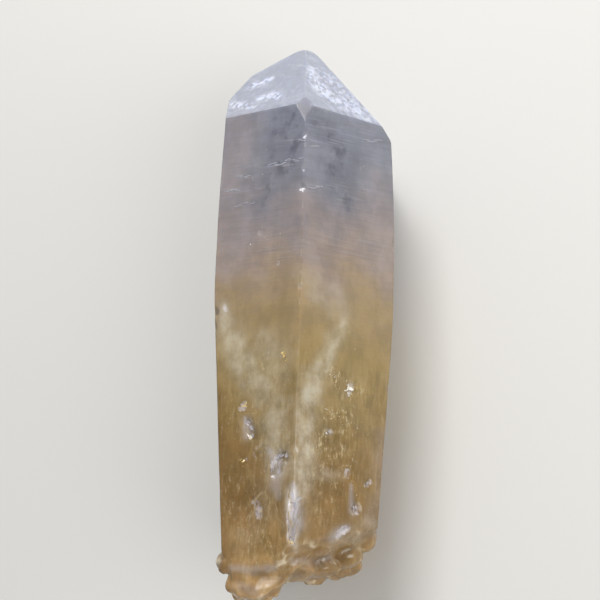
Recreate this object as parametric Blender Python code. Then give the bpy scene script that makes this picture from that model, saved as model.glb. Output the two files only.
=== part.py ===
"""A citrine quartz point, lying on one of its six prism faces.

The crystal's long axis runs along Y with the tip towards +Y, and +Z is up.
Azimuths are in degrees about that axis: 0 is +X, 90 is up, and -90 is the face
that the crystal rests on. Heights along the axis start at 0, the lowest point
of the broken base. Lengths in the tables are in millimetres.
"""
import math

import bmesh
import bpy
from mathutils import Matrix, Vector

MM = 0.001

# Driving dimensions, in millimetres
LENGTH = 144.4
REST_DISTANCE = 22.0
BLOCK_HALF = 40.0

# The azimuth of the edge between the two upper faces. The apex and the broken base
# are laid out across and up as seen square to this edge
UPPER_EDGE = 60.0

# The prism faces bulge a little in the middle: azimuth and distance from the axis,
# then the height where the upper part starts to lean in and by how many degrees,
# then the same for the lower part
UPPER_LEFT = "upper left"
UPPER_RIGHT = "upper right"
RIGHT = "right"
LEFT = "left"
UNDER_LEFT = "under left"
PRISM_FACES = {
    UPPER_LEFT: (90.0, 22.5, 96.0, 1.6, 66.0, -2.2),
    UPPER_RIGHT: (30.0, 21.9, 96.0, 1.6, 66.0, -2.2),
    RIGHT: (-30.0, 22.5, 93.0, 3.2, 68.0, -3.2),
    LEFT: (150.0, 21.6, 97.0, 1.6, 74.0, -4.4),
    UNDER_LEFT: (-150.0, 22.0, 112.0, 0.6, 60.0, -2.5),
}
# Every other flat face: azimuth, distance from the axis, the height where it is
# measured, and its lean towards the axis on the way to the tip, in degrees
REST_FACE = (-90.0, REST_DISTANCE, 80.0, 0.0)
TIP_FACES = (
    (90.7, 22.07, 119.5, 37.1),
    (28.4, 20.87, 119.5, 37.2),
    (-30.4, 21.63, 114.5, 35.1),
    (-89.0, 24.64, 112.0, 37.7),
    (-157.9, 21.31, 120.5, 38.1),
    (141.5, 19.98, 129.8, 33.9),
)
# The corner where both upper prism faces meet their tip faces is chipped flat
CORNER_CHIP = (UPPER_EDGE, 25.1, 114.6, 17.0)
# The worn apex, rounded by two rings of flatter faces about its centre, each with
# its first azimuth, distance, height and lean, under a small flat cap
APEX_CENTRE = (-1.6, 0.9)
APEX_RINGS = (
    (10.0, 1.5, 144.1, 74.0),
    (33.0, 3.1, 143.2, 56.0),
)
APEX_SIDES = 8

# The broken base, as faces that look towards the base end
BREAK_FACES = (
    (0.0, 0.0, 6.4, -90.0),
    (-30.0, 6.6, 6.4, -63.4),
    (-30.0, 14.0, 10.5, -49.6),
    (-30.0, 18.6, 14.8, -24.4),
    (17.0, 17.3, 13.4, -45.0),
    (150.0, 14.9, 7.2, -27.8),
    (-140.0, 12.0, 6.4, -65.8),
)
# The lobe that stands out of the break, measured from its own centre line
LOBE_CENTRE = (-9.0, 11.0)
LOBE_TOP = 14.0
LOBE_FACES = (
    (0.0, 0.0, 0.7, -90.0),
    (150.0, 5.2, 2.9, -9.5),
    (150.0, 3.5, 0.7, -37.6),
    (-30.0, 1.6, 1.0, -62.0),
    (-30.0, 6.2, 3.4, -42.0),
    (75.0, 7.1, 3.0, -9.0),
    (115.0, 7.2, 3.0, -8.0),
    (90.0, 6.0, 10.0, 32.0),
    (45.0, 7.4, 3.0, -20.0),
    (-150.0, 6.0, 3.0, -30.5),
    (-95.0, 6.0, 3.0, -35.5),
)

# Blunt six-sided growths that stand out of the break: across and up from the axis as
# seen square to the upper edge, height of the blunt end, half width, length and twist
STUB_BLUNTNESS = 0.42
STUBS = (
    (-12.4, 9.4, 0.5, 3.0, 3.6, 10.0),
    (-8.8, 13.6, 0.2, 3.6, 4.2, 40.0),
    (-6.0, 8.6, 0.7, 3.2, 3.4, 25.0),
    (-4.4, 13.6, 1.5, 3.0, 3.8, 5.0),
    (-12.8, 14.0, 1.5, 2.8, 4.2, 50.0),
    (-10.6, 4.6, 2.6, 3.4, 3.6, 35.0),
    (-3.0, -12.6, 5.6, 4.4, 4.2, 40.0),
    (5.4, -9.4, 5.2, 5.2, 3.2, 8.0),
)

# Rounded lumps on the rest of the break: across and up, height of the middle, half
# width, half length along the axis, and twist
LUMPS = (
    (1.4, 12.6, 8.3, 4.3, 2.4, 24.0),
    (6.8, 9.6, 8.7, 4.8, 2.5, 70.0),
    (12.2, 7.2, 12.0, 4.6, 3.4, 12.0),
    (16.6, 6.8, 16.4, 3.4, 3.8, 33.0),
    (8.6, 0.6, 9.0, 5.8, 2.9, 5.0),
    (0.4, 3.6, 7.2, 5.4, 2.0, 30.0),
    (-3.6, -4.0, 7.1, 5.8, 2.1, 60.0),
    (-10.4, -6.4, 8.2, 5.2, 2.7, 52.0),
    (-14.8, 1.0, 9.8, 3.8, 3.2, 18.0),
    (12.0, -7.4, 10.2, 5.2, 2.9, 28.0),
    (2.6, -17.0, 10.0, 4.8, 2.4, 80.0),
)

# Knobs on the foot of the upper faces, round the lobe: face, across from the middle
# of the face, height, half length, half width, how far they stand out, and turn
KNOBS = (
    (UPPER_LEFT, -5.4, 8.2, 1.9, 3.0, 0.7, 14.0),
    (UPPER_LEFT, -0.8, 7.6, 1.7, 3.4, 0.8, -8.0),
    (UPPER_LEFT, 3.6, 8.6, 1.9, 3.1, 0.6, 12.0),
    (UPPER_LEFT, -3.8, 4.2, 2.0, 2.6, 0.9, 30.0),
    (UPPER_LEFT, 0.6, 3.8, 2.0, 2.4, 0.8, -20.0),
)

# How far a lens or a bar is lifted off its face, as a share of its depth
LENS_LIFT = 0.13

# Scars and pits: face, across from the middle of the face, height, half length,
# half width, depth and turn from the long axis in degrees
PITS = (
    (UPPER_LEFT, -1.0, 39.8, 3.1, 1.5, 1.0, 24.0),
    (UPPER_LEFT, -2.7, 45.1, 1.2, 1.1, 0.5, 0.0),
    (UPPER_LEFT, 1.4, 34.4, 2.0, 1.0, 0.5, -40.0),
    (UPPER_LEFT, -1.9, 32.2, 1.0, 0.7, 0.4, 0.0),
    (UPPER_LEFT, 7.4, 31.6, 3.9, 1.9, 1.1, -26.0),
    (UPPER_LEFT, 11.2, 18.6, 6.2, 1.3, 0.9, -3.0),
    (UPPER_LEFT, 1.8, 21.4, 2.6, 1.0, 0.5, 20.0),
    (UPPER_LEFT, -8.2, 69.6, 1.1, 0.8, 0.4, 30.0),
    (UPPER_LEFT, 0.4, 87.6, 0.8, 0.6, 0.3, 0.0),
    (UPPER_LEFT, 5.6, 79.4, 0.8, 0.5, 0.3, 20.0),
    (UPPER_RIGHT, 4.6, 22.3, 1.7, 1.1, 0.7, 12.0),
    (UPPER_RIGHT, 1.4, 16.8, 2.4, 0.9, 0.6, -48.0),
    (UPPER_RIGHT, 2.4, 30.2, 1.2, 0.8, 0.4, 0.0),
    (UPPER_RIGHT, 7.8, 28.6, 1.5, 0.8, 0.5, -20.0),
    (UPPER_RIGHT, 1.6, 50.4, 2.0, 1.2, 0.5, -30.0),
    (UPPER_RIGHT, -3.4, 38.6, 1.8, 0.9, 0.4, 15.0),
    (UPPER_RIGHT, 3.4, 105.6, 0.8, 0.6, 0.3, 0.0),
    (RIGHT, -3.0, 34.0, 3.4, 1.6, 0.8, 20.0),
    (RIGHT, 5.0, 58.0, 1.6, 1.0, 0.5, -35.0),
    (LEFT, 3.0, 30.0, 3.0, 1.4, 0.8, -15.0),
    (LEFT, -4.0, 66.0, 1.5, 0.9, 0.4, 30.0),
    (UNDER_LEFT, 4.0, 40.0, 4.2, 2.0, 0.9, 30.0),
    (UNDER_LEFT, -5.0, 90.0, 1.8, 1.0, 0.5, -20.0),
)

# Nicks on the upper edge and on three others: azimuth of the edge, its distance
# from the axis, height and radius
NICKS = (
    (61.3, 25.6, 111.6, 0.9),
    (61.3, 25.9, 102.8, 0.8),
    (61.3, 25.9, 97.7, 1.1),
    (61.3, 26.0, 91.9, 0.8),
    (61.3, 25.9, 73.4, 0.7),
    (61.3, 24.7, 34.0, 1.0),
    (117.0, 25.6, 68.4, 1.3),
    (117.0, 25.6, 64.6, 1.0),
    (-1.1, 25.9, 88.0, 1.0),
    (-1.1, 25.5, 52.0, 1.3),
    (180.8, 25.2, 82.0, 1.4),
    (180.8, 24.0, 47.0, 1.8),
)

# Growth ledges, thin steps that run across the faces: face, across from the middle
# of the face to the two ends, height, and how much the far end rises
LEDGE_WIDTH = 0.7
LEDGE_DEPTH = 0.22
LEDGES = (
    (UPPER_LEFT, 2.0, 11.6, 104.6, -0.2),
    (UPPER_LEFT, -4.8, -1.2, 104.4, -0.3),
    (UPPER_LEFT, -6.8, -3.4, 103.0, -0.2),
    (UPPER_LEFT, -10.0, -6.2, 99.5, -0.4),
    (UPPER_RIGHT, -12.0, -7.6, 98.2, 0.5),
    (UPPER_RIGHT, 4.0, 9.6, 113.8, 0.6),
    (UPPER_RIGHT, -11.4, -8.6, 108.8, 0.3),
    (RIGHT, -9.0, 3.0, 97.0, 0.0),
    (RIGHT, -2.0, 10.0, 84.0, 0.4),
    (LEFT, -8.0, 6.0, 108.0, 0.0),
    (LEFT, -10.0, -1.0, 92.0, -0.4),
    (UNDER_LEFT, -9.0, 7.0, 103.0, 0.3),
    (UNDER_LEFT, 0.0, 10.0, 73.0, 0.0),
)

MATERIAL_COLOUR = (0.44, 0.37, 0.26, 1.0)
MATERIAL_ROUGHNESS = 0.22
QUARTZ_IOR = 1.544
QUARTZ_TRANSMISSION = 0.55


def outward(azimuth):
    """Return the unit vector that points away from the axis at an azimuth."""
    angle = math.radians(azimuth)
    return Vector((math.cos(angle), 0.0, math.sin(angle)))


def off_axis(across, up):
    """Return a point of the section from its place seen square to the upper edge."""
    return outward(UPPER_EDGE - 90.0) * across + outward(UPPER_EDGE) * up


def block(low, high, half):
    """Return a bmesh box around the axis, from one height to another, in millimetres."""
    mesh = bmesh.new()
    bmesh.ops.create_cube(mesh, size=1.0)
    bmesh.ops.scale(mesh, vec=(2.0 * half, high - low, 2.0 * half), verts=mesh.verts)
    bmesh.ops.translate(mesh, vec=(0.0, 0.5 * (low + high), 0.0), verts=mesh.verts)
    return mesh


def cleave(mesh, face, centre=Vector((0.0, 0.0, 0.0))):
    """Cut the mesh along one crystal face and close the cut."""
    azimuth, distance, height, lean = face
    side = outward(azimuth)
    angle = math.radians(lean)
    normal = side * math.cos(angle) + Vector((0.0, math.sin(angle), 0.0))
    point = centre + side * distance + Vector((0.0, height, 0.0))
    parts = mesh.verts[:] + mesh.edges[:] + mesh.faces[:]
    cut = bmesh.ops.bisect_plane(
        mesh, geom=parts, plane_co=point, plane_no=normal, clear_outer=True, dist=1e-5)
    rim = [item for item in cut["geom_cut"] if isinstance(item, bmesh.types.BMEdge)]
    if rim:
        bmesh.ops.contextual_create(mesh, geom=rim)


def finish_mesh(mesh, name, collection):
    """Turn a bmesh in millimetres into an object in metres."""
    bmesh.ops.scale(mesh, vec=(MM, MM, MM), verts=mesh.verts)
    bmesh.ops.recalc_face_normals(mesh, faces=mesh.faces)
    data = bpy.data.meshes.new(name)
    mesh.to_mesh(data)
    mesh.free()
    thing = bpy.data.objects.new(name, data)
    collection.objects.link(thing)
    return thing


def crystal_body(collection):
    """Cleave the body of the crystal out of a block, face by face."""
    mesh = block(-20.0, LENGTH, BLOCK_HALF)
    for azimuth, distance, upper_bend, upper_lean, lower_bend, lower_lean in PRISM_FACES.values():
        cleave(mesh, (azimuth, distance, upper_bend, 0.0))
        cleave(mesh, (azimuth, distance, upper_bend, upper_lean))
        cleave(mesh, (azimuth, distance, lower_bend, lower_lean))
    for face in (REST_FACE,) + TIP_FACES + BREAK_FACES + (CORNER_CHIP,):
        cleave(mesh, face)
    apex = off_axis(*APEX_CENTRE)
    for start, distance, height, lean in APEX_RINGS:
        for step in range(APEX_SIDES):
            cleave(mesh, (start + step * 360.0 / APEX_SIDES, distance, height, lean), apex)
    return finish_mesh(mesh, "crystal", collection)


def base_lobe(collection):
    """Cleave the lobe that stands out of the broken base."""
    mesh = block(-5.0, LOBE_TOP, 9.0)
    centre = off_axis(*LOBE_CENTRE)
    bmesh.ops.translate(mesh, vec=centre, verts=mesh.verts)
    for face in LOBE_FACES:
        cleave(mesh, face, centre)
    return finish_mesh(mesh, "base lobe", collection)


def base_stub(index, stub, collection):
    """Make one six-sided stub that points out of the break."""
    across, up, tip, half_width, length, twist = stub
    mesh = bmesh.new()
    bmesh.ops.create_cone(
        mesh, cap_ends=True, segments=6, radius1=half_width,
        radius2=STUB_BLUNTNESS * half_width, depth=length)
    spin = Matrix.Rotation(math.radians(twist), 4, "Z")
    lay = Matrix.Rotation(math.radians(90.0), 4, "X")
    place = Matrix.Translation(off_axis(across, up) + Vector((0.0, tip + 0.5 * length, 0.0)))
    bmesh.ops.transform(mesh, matrix=place @ lay @ spin, verts=mesh.verts)
    return finish_mesh(mesh, "stub %d" % index, collection)


def base_lump(index, lump, collection):
    """Make one rounded, faceted lump on the break."""
    across, up, height, half_width, half_length, twist = lump
    mesh = bmesh.new()
    bmesh.ops.create_icosphere(mesh, subdivisions=2, radius=1.0)
    spin = Matrix.Rotation(math.radians(twist), 4, "Y")
    stretch = Matrix.Diagonal((half_width, half_length, half_width, 1.0))
    place = Matrix.Translation(off_axis(across, up) + Vector((0.0, height, 0.0)))
    bmesh.ops.transform(mesh, matrix=place @ stretch @ spin, verts=mesh.verts)
    return finish_mesh(mesh, "lump %d" % index, collection)


def face_place(face, across, height):
    """Return the place and the axes of a spot on a prism face.

    The columns are the direction across the face, the direction along it towards
    the tip, and the outward normal.
    """
    azimuth, distance, upper_bend, upper_lean, lower_bend, lower_lean = PRISM_FACES[face]
    if height > upper_bend:
        start, angle = upper_bend, math.radians(upper_lean)
    elif height < lower_bend:
        start, angle = lower_bend, math.radians(lower_lean)
    else:
        start, angle = height, 0.0
    side = outward(azimuth)
    tangent = outward(azimuth - 90.0)
    normal = side * math.cos(angle) + Vector((0.0, math.sin(angle), 0.0))
    along = normal.cross(tangent)
    depth = distance - (height - start) * math.tan(angle)
    spot = side * depth + tangent * across + Vector((0.0, height, 0.0))
    turn = Matrix((tangent, along, normal)).transposed().to_4x4()
    return Matrix.Translation(spot) @ turn


def lens(name, spec, collection):
    """Make a faceted lens on a face, to cut a scar there or to stand as a knob."""
    face, across, height, half_length, half_width, depth, turn = spec
    mesh = bmesh.new()
    bmesh.ops.create_icosphere(mesh, subdivisions=2, radius=1.0)
    bmesh.ops.scale(mesh, vec=(half_width, half_length, depth), verts=mesh.verts)
    bmesh.ops.translate(mesh, vec=(0.0, 0.0, LENS_LIFT * depth), verts=mesh.verts)
    spin = Matrix.Rotation(math.radians(turn), 4, "Z")
    bmesh.ops.transform(mesh, matrix=face_place(face, across, height) @ spin, verts=mesh.verts)
    return finish_mesh(mesh, name, collection)


def nick(index, spec, collection):
    """Make the cutter of one nick on a prism edge."""
    azimuth, distance, height, radius = spec
    mesh = bmesh.new()
    bmesh.ops.create_icosphere(mesh, subdivisions=2, radius=radius)
    spot = outward(azimuth) * distance + Vector((0.0, height, 0.0))
    bmesh.ops.translate(mesh, vec=spot, verts=mesh.verts)
    return finish_mesh(mesh, "nick %d" % index, collection)


def ledge(index, spec, collection):
    """Make the cutter of one growth ledge: a slim bar turned on its edge."""
    face, start, end, height, rise = spec
    length = end - start
    mesh = bmesh.new()
    bmesh.ops.create_cube(mesh, size=1.0)
    side = LEDGE_WIDTH / math.sqrt(2.0)
    bmesh.ops.scale(mesh, vec=(length, side, side), verts=mesh.verts)
    tip_over = Matrix.Rotation(math.radians(45.0), 4, "X")
    flatten = Matrix.Diagonal((1.0, 1.0, 2.0 * LEDGE_DEPTH / LEDGE_WIDTH, 1.0))
    lift = Matrix.Translation((0.0, 0.0, LENS_LIFT * LEDGE_DEPTH))
    slope = Matrix.Rotation(math.atan2(rise, length), 4, "Z")
    place = face_place(face, 0.5 * (start + end), height)
    bmesh.ops.transform(mesh, matrix=place @ slope @ lift @ flatten @ tip_over, verts=mesh.verts)
    return finish_mesh(mesh, "ledge %d" % index, collection)


def guide(thing):
    """Mark an object as a cutter or an addition that is not itself shown."""
    thing.hide_render = True
    thing.display_type = "WIRE"


def combine(body, operation, collection):
    """Join to the body, or cut from it, every shape in a collection."""
    modifier = body.modifiers.new(operation.lower(), "BOOLEAN")
    modifier.operation = operation
    modifier.solver = "EXACT"
    modifier.operand_type = "COLLECTION"
    modifier.collection = collection


def quartz_material():
    """Return the honey-grey, half-clear finish of the crystal."""
    material = bpy.data.materials.new("citrine quartz")
    material.use_nodes = True
    shader = material.node_tree.nodes["Principled BSDF"]
    shader.inputs["Base Color"].default_value = MATERIAL_COLOUR
    shader.inputs["Roughness"].default_value = MATERIAL_ROUGHNESS
    shader.inputs["Metallic"].default_value = 0.0
    shader.inputs["IOR"].default_value = QUARTZ_IOR
    shader.inputs["Transmission Weight"].default_value = QUARTZ_TRANSMISSION
    material.diffuse_color = MATERIAL_COLOUR
    return material


def settle(things):
    """Shift every shape so that the crystal lies centred over the origin."""
    body = things[0]
    bpy.context.view_layer.update()
    shown = body.evaluated_get(bpy.context.evaluated_depsgraph_get())
    points = [vertex.co for vertex in shown.data.vertices]
    low = Vector([min(point[axis] for point in points) for axis in range(3)])
    high = Vector([max(point[axis] for point in points) for axis in range(3)])
    shift = Vector((-0.5 * (low.x + high.x), -0.5 * (low.y + high.y), -low.z))
    for thing in things:
        thing.data.transform(Matrix.Translation(shift))


def main():
    """Build the crystal."""
    for thing in list(bpy.data.objects):
        bpy.data.objects.remove(thing, do_unlink=True)
    shown = bpy.data.collections.new("citrine crystal point")
    additions = bpy.data.collections.new("base growths")
    cutters = bpy.data.collections.new("scars and ledges")
    for collection in (shown, additions, cutters):
        bpy.context.scene.collection.children.link(collection)
    body = crystal_body(shown)
    guides = [base_lobe(additions)]
    guides += [base_stub(index, stub, additions) for index, stub in enumerate(STUBS)]
    guides += [base_lump(index, lump, additions) for index, lump in enumerate(LUMPS)]
    guides += [lens("knob %d" % index, spec, additions) for index, spec in enumerate(KNOBS)]
    guides += [lens("pit %d" % index, spec, cutters) for index, spec in enumerate(PITS)]
    guides += [nick(index, spec, cutters) for index, spec in enumerate(NICKS)]
    guides += [ledge(index, spec, cutters) for index, spec in enumerate(LEDGES)]
    for thing in guides:
        guide(thing)
    combine(body, "UNION", additions)
    body.modifiers.new("split faces", "TRIANGULATE")
    combine(body, "DIFFERENCE", cutters)
    body.data.materials.append(quartz_material())
    settle([body] + guides)


main()
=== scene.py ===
"""A citrine quartz point, lying on one prism face on a pale table.

Lengths in the tables are in millimetres and angles in degrees. The crystal's own
frame has its long axis along Y, the lowest point of the broken base at height 0,
azimuth 0 towards +X and azimuth 90 upwards.
"""
import math

import bpy
import numpy as np
from mathutils import Matrix, Vector


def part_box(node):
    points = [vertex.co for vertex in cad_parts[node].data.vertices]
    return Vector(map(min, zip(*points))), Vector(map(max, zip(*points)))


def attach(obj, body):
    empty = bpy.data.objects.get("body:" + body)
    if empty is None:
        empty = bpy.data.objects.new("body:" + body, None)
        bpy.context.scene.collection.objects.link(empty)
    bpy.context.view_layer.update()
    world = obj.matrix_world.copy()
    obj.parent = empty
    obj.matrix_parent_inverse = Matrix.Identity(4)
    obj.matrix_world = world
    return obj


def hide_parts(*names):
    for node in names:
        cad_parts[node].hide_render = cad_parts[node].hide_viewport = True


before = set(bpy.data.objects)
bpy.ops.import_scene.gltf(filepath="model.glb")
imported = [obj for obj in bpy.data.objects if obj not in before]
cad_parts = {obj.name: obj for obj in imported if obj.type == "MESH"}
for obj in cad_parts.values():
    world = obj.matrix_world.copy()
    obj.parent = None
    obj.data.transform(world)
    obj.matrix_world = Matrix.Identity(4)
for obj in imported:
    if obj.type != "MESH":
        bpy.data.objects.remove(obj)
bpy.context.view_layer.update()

MM = 0.001

# The crystal's faces. Each prism face bulges a little: azimuth and distance from the
# axis, the height where the upper part starts to lean in and by how many degrees,
# then the same for the lower part
LENGTH = 144.4
REST_DISTANCE = 22.0
UPPER_EDGE = 60.0
UPPER_LEFT, UPPER_RIGHT, RIGHT, LEFT, UNDER_LEFT = range(5)
PRISM_FACES = (
    (90.0, 22.5, 96.0, 1.6, 66.0, -2.2),
    (30.0, 21.9, 96.0, 1.6, 66.0, -2.2),
    (-30.0, 22.5, 93.0, 3.2, 68.0, -3.2),
    (150.0, 21.6, 97.0, 1.6, 74.0, -4.4),
    (-150.0, 22.0, 112.0, 0.6, 60.0, -2.5),
)
# Flat faces: azimuth, distance from the axis, height where it is measured, and lean
# towards the axis on the way to the tip
REST_FACE = (-90.0, REST_DISTANCE, 80.0, 0.0)
TIP_FACES = (
    (90.7, 22.07, 119.5, 37.1),
    (28.4, 20.87, 119.5, 37.2),
    (-30.4, 21.63, 114.5, 35.1),
    (-89.0, 24.64, 112.0, 37.7),
    (-157.9, 21.31, 120.5, 38.1),
    (141.5, 19.98, 129.8, 33.9),
)
CORNER_CHIP = (UPPER_EDGE, 25.1, 114.6, 17.0)
APEX_CENTRE = (-1.6, 0.9)
APEX_CAP = (0.0, 0.0, LENGTH, 90.0)
APEX_RINGS = ((10.0, 1.5, 144.1, 74.0), (33.0, 3.1, 143.2, 56.0))
APEX_SIDES = 8
BREAK_FACES = (
    (0.0, 0.0, 6.4, -90.0),
    (-30.0, 6.6, 6.4, -63.4),
    (-30.0, 14.0, 10.5, -49.6),
    (-30.0, 18.6, 14.8, -24.4),
    (17.0, 17.3, 13.4, -45.0),
    (150.0, 14.9, 7.2, -27.8),
    (-140.0, 12.0, 6.4, -65.8),
)
LOBE_CENTRE = (-9.0, 11.0)
LOBE_FACES = (
    (0.0, 0.0, 0.7, -90.0),
    (0.0, 0.0, 14.0, 90.0),
    (150.0, 5.2, 2.9, -9.5),
    (150.0, 3.5, 0.7, -37.6),
    (-30.0, 1.6, 1.0, -62.0),
    (-30.0, 6.2, 3.4, -42.0),
    (75.0, 7.1, 3.0, -9.0),
    (115.0, 7.2, 3.0, -8.0),
    (90.0, 6.0, 10.0, 32.0),
    (45.0, 7.4, 3.0, -20.0),
    (-150.0, 6.0, 3.0, -30.5),
    (-95.0, 6.0, 3.0, -35.5),
)
# Blunt six-sided growths on the break: across and up from the axis as seen square to
# the upper edge, height of the blunt end, half width, length and twist
STUB_BLUNTNESS = 0.42
STUBS = (
    (-12.4, 9.4, 0.5, 3.0, 3.6, 10.0),
    (-8.8, 13.6, 0.2, 3.6, 4.2, 40.0),
    (-6.0, 8.6, 0.7, 3.2, 3.4, 25.0),
    (-4.4, 13.6, 1.5, 3.0, 3.8, 5.0),
    (-12.8, 14.0, 1.5, 2.8, 4.2, 50.0),
    (-10.6, 4.6, 2.6, 3.4, 3.6, 35.0),
    (-3.0, -12.6, 5.6, 4.4, 4.2, 40.0),
    (5.4, -9.4, 5.2, 5.2, 3.2, 8.0),
)
# Rounded lumps on the break: across and up, height of the middle, half width and half
# length along the axis
LUMPS = (
    (1.4, 12.6, 8.3, 4.3, 2.4),
    (6.8, 9.6, 8.7, 4.8, 2.5),
    (12.2, 7.2, 12.0, 4.6, 3.4),
    (16.6, 6.8, 16.4, 3.4, 3.8),
    (8.6, 0.6, 9.0, 5.8, 2.9),
    (0.4, 3.6, 7.2, 5.4, 2.0),
    (-3.6, -4.0, 7.1, 5.8, 2.1),
    (-10.4, -6.4, 8.2, 5.2, 2.7),
    (-14.8, 1.0, 9.8, 3.8, 3.2),
    (12.0, -7.4, 10.2, 5.2, 2.9),
    (2.6, -17.0, 10.0, 4.8, 2.4),
)
# Knobs that stand out of a face, and scars sunk into one: face, across from its middle,
# height, half length, half width, depth and turn
KNOBS = (
    (UPPER_LEFT, -5.4, 8.2, 1.9, 3.0, 0.7, 14.0),
    (UPPER_LEFT, -0.8, 7.6, 1.7, 3.4, 0.8, -8.0),
    (UPPER_LEFT, 3.6, 8.6, 1.9, 3.1, 0.6, 12.0),
    (UPPER_LEFT, -3.8, 4.2, 2.0, 2.6, 0.9, 30.0),
    (UPPER_LEFT, 0.6, 3.8, 2.0, 2.4, 0.8, -20.0),
)
SCARS = (
    (UPPER_LEFT, -1.0, 39.8, 3.1, 1.5, 1.0, 24.0),
    (UPPER_LEFT, -2.7, 45.1, 1.2, 1.1, 0.5, 0.0),
    (UPPER_LEFT, 1.4, 34.4, 2.0, 1.0, 0.5, -40.0),
    (UPPER_LEFT, -1.9, 32.2, 1.0, 0.7, 0.4, 0.0),
    (UPPER_LEFT, 7.4, 31.6, 3.9, 1.9, 1.1, -26.0),
    (UPPER_LEFT, 11.2, 18.6, 6.2, 1.3, 0.9, -3.0),
    (UPPER_LEFT, 1.8, 21.4, 2.6, 1.0, 0.5, 20.0),
    (UPPER_LEFT, -8.2, 69.6, 1.1, 0.8, 0.4, 30.0),
    (UPPER_LEFT, 0.4, 87.6, 0.8, 0.6, 0.3, 0.0),
    (UPPER_LEFT, 5.6, 79.4, 0.8, 0.5, 0.3, 20.0),
    (UPPER_RIGHT, 4.6, 22.3, 1.7, 1.1, 0.7, 12.0),
    (UPPER_RIGHT, 1.4, 16.8, 2.4, 0.9, 0.6, -48.0),
    (UPPER_RIGHT, 2.4, 30.2, 1.2, 0.8, 0.4, 0.0),
    (UPPER_RIGHT, 7.8, 28.6, 1.5, 0.8, 0.5, -20.0),
    (UPPER_RIGHT, 1.6, 50.4, 2.0, 1.2, 0.5, -30.0),
    (UPPER_RIGHT, -3.4, 38.6, 1.8, 0.9, 0.4, 15.0),
    (UPPER_RIGHT, 3.4, 105.6, 0.8, 0.6, 0.3, 0.0),
    (RIGHT, -3.0, 34.0, 3.4, 1.6, 0.8, 20.0),
    (RIGHT, 5.0, 58.0, 1.6, 1.0, 0.5, -35.0),
    (LEFT, 3.0, 30.0, 3.0, 1.4, 0.8, -15.0),
    (LEFT, -4.0, 66.0, 1.5, 0.9, 0.4, 30.0),
    (UNDER_LEFT, 4.0, 40.0, 4.2, 2.0, 0.9, 30.0),
    (UNDER_LEFT, -5.0, 90.0, 1.8, 1.0, 0.5, -20.0),
)
# Nicks on the prism edges: azimuth of the edge, distance from the axis, height, radius
NICKS = (
    (61.3, 25.6, 111.6, 0.9),
    (61.3, 25.9, 102.8, 0.8),
    (61.3, 25.9, 97.7, 1.1),
    (61.3, 26.0, 91.9, 0.8),
    (61.3, 25.9, 73.4, 0.7),
    (61.3, 24.7, 34.0, 1.0),
    (117.0, 25.6, 68.4, 1.3),
    (117.0, 25.6, 64.6, 1.0),
    (-1.1, 25.9, 88.0, 1.0),
    (-1.1, 25.5, 52.0, 1.3),
    (180.8, 25.2, 82.0, 1.4),
    (180.8, 24.0, 47.0, 1.8),
)

# How sharp the worn edges are, per millimetre: a larger number is a sharper edge.
# Growths are the lumps and stubs where they meet each other, and a join is where they
# meet the body
EDGE_SHARPNESS = 8.0
BREAK_SHARPNESS = 2.2
LOBE_SHARPNESS = 4.0
SCAR_SHARPNESS = 14.0
GROWTH_SHARPNESS = 7.0
JOIN_SHARPNESS = 9.0
# Coarse and fine shell-like hollows of the break: cell size and seed
COARSE_SHELLS = (4.6, 5)
FINE_SHELLS = (1.9, 6)
# How far noise shifts the outline of a scar or a nick, and how far from it that reaches
RAGGEDNESS = 0.85
REACH_OF_MARKS = 2.0
# The distance stored where no scar is near
FAR_FROM_SCARS = 3.0
# Heights of the broad swells, the growth steps and the etching of the tip
SWELL_HEIGHT = 0.05
STEP_HEIGHT = 0.03
ETCH_HEIGHT = 0.06
# The shortest scar that gets fracture films, by its half length
SHORTEST_FILMED_SCAR = 1.4

# The height below which the break and what stands out of it are worked out
GROWTH_TOP = 24.0
# The grid of the surface: columns on each face and how they crowd towards its edges,
# the heights that the two fans of rays leave from, the step between the level rows of
# the prism, and the rows of each fan
COLUMNS_PER_FACE = 42
CORNER_CROWDING = 0.6
BASE_ORIGIN = 22.0
TIP_ORIGIN = 118.0
PRISM_STEP = 0.72
BASE_ROWS = 104
TIP_ROWS = 74
# The elevation that each fan is centred on, and how far below and above it the fan goes
BASE_SLOPE = -36.0
BASE_FAN = (-54.0, 36.0)
TIP_SLOPE = 38.0
TIP_FAN = (-38.0, 52.0)
# Rays start this far outside the flat faces, take this share of the field's value as a
# step, stop when it is under the tolerance, and never come nearer the axis than this
RAY_START = 1.6
RAY_STEP = 0.85
RAY_TOLERANCE = 0.002
RAY_LEAST = 0.5
RAY_ROUNDS = 50
# Nominal azimuths of the six edges, from the upper edge round, and how far from these
# the true ones are looked for
EDGE_AZIMUTHS = (61.3, 117.0, 181.0, 240.0, 300.0, 359.0)
EDGE_WINDOW = 15.0


def linear(hex_colour):
    """Turn an sRGB hex colour into a linear RGBA tuple."""
    levels = [int(hex_colour[place:place + 2], 16) / 255.0 for place in (1, 3, 5)]
    return tuple(
        level / 12.92 if level <= 0.04045 else ((level + 0.055) / 1.055) ** 2.4
        for level in levels) + (1.0,)


def outward(azimuth):
    """Unit vector away from the long axis at an azimuth."""
    angle = math.radians(azimuth)
    return np.array([math.cos(angle), 0.0, math.sin(angle)])


def off_axis(across, up):
    """A point of the section from its place seen square to the upper edge."""
    return outward(UPPER_EDGE - 90.0) * across + outward(UPPER_EDGE) * up


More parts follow.
